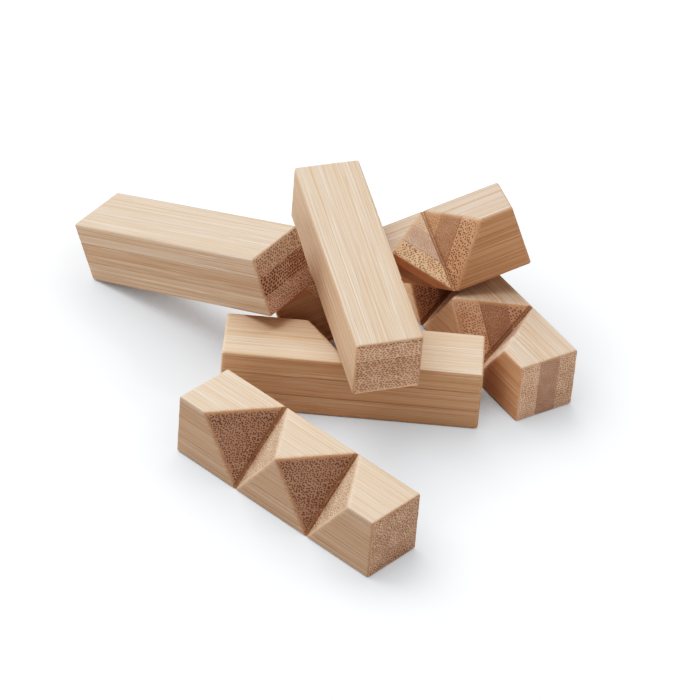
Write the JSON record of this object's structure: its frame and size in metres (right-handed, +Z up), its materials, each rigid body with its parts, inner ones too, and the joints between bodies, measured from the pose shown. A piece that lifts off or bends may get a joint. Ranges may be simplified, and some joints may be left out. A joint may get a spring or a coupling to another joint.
{
  "type": "wooden burr puzzle",
  "caption": "Diagonal burr puzzle in laminated bamboo: square sticks with V-shaped notches, taken apart and lying in a loose pile.",
  "frame": {"origin": "centre of the middle stick's bottom face, on the table", "axes": "+X along the middle stick, +Y to the back of the pile, +Z up"},
  "size_m": [0.1154, 0.1132, 0.0377],
  "materials": {
    "pale_bamboo": "sanded, unlacquered pale bamboo with fine straight grain",
    "dark_bamboo": "sanded, unlacquered steamed bamboo, a tone darker, with fine straight grain"
  },
  "bodies": {
    "middle_stick": {"middle_stick_lower_strip": "pale_bamboo", "middle_stick_core_strip": "dark_bamboo", "middle_stick_upper_strip": "pale_bamboo"},
    "right_stick": {"right_stick_front_strip": "pale_bamboo", "right_stick_core_strip": "dark_bamboo", "right_stick_back_strip": "pale_bamboo"},
    "front_stick": {"front_stick_lower_strip": "pale_bamboo", "front_stick_core_strip": "dark_bamboo", "front_stick_upper_strip": "pale_bamboo"},
    "leaning_stick": {"leaning_stick_front_strip": "pale_bamboo", "leaning_stick_core_strip": "dark_bamboo", "leaning_stick_back_strip": "pale_bamboo"},
    "key_stick": {"key_stick_lower_strip": "pale_bamboo", "key_stick_core_strip": "dark_bamboo", "key_stick_upper_strip": "pale_bamboo"},
    "top_stick": {"top_stick_lower_strip": "pale_bamboo", "top_stick_core_strip": "dark_bamboo", "top_stick_upper_strip": "pale_bamboo"}
  },
  "joints": [
    {"name": "key_stick_lift", "type": "slide", "parent": "middle_stick", "child": "key_stick", "axis": [-0.7071, 0, 0.7071], "range_m": [0, 0.07]},
    {"name": "leaning_stick_draw", "type": "slide", "parent": "middle_stick", "child": "leaning_stick", "axis": [0.8968, 0.2923, 0.3322], "range_m": [0, 0.07]},
    {"name": "top_stick_lift", "type": "slide", "parent": "leaning_stick", "child": "top_stick", "axis": [0, 0, 1], "range_m": [0, 0.06]},
    {"name": "right_stick_slide", "type": "slide", "parent": "middle_stick", "child": "right_stick", "axis": [0.866, 0.5, 0], "range_m": [0, 0.07]},
    {"name": "front_stick_slide", "type": "slide", "parent": "middle_stick", "child": "front_stick", "axis": [-0.6428, -0.766, 0], "range_m": [0, 0.06]}
  ]
}
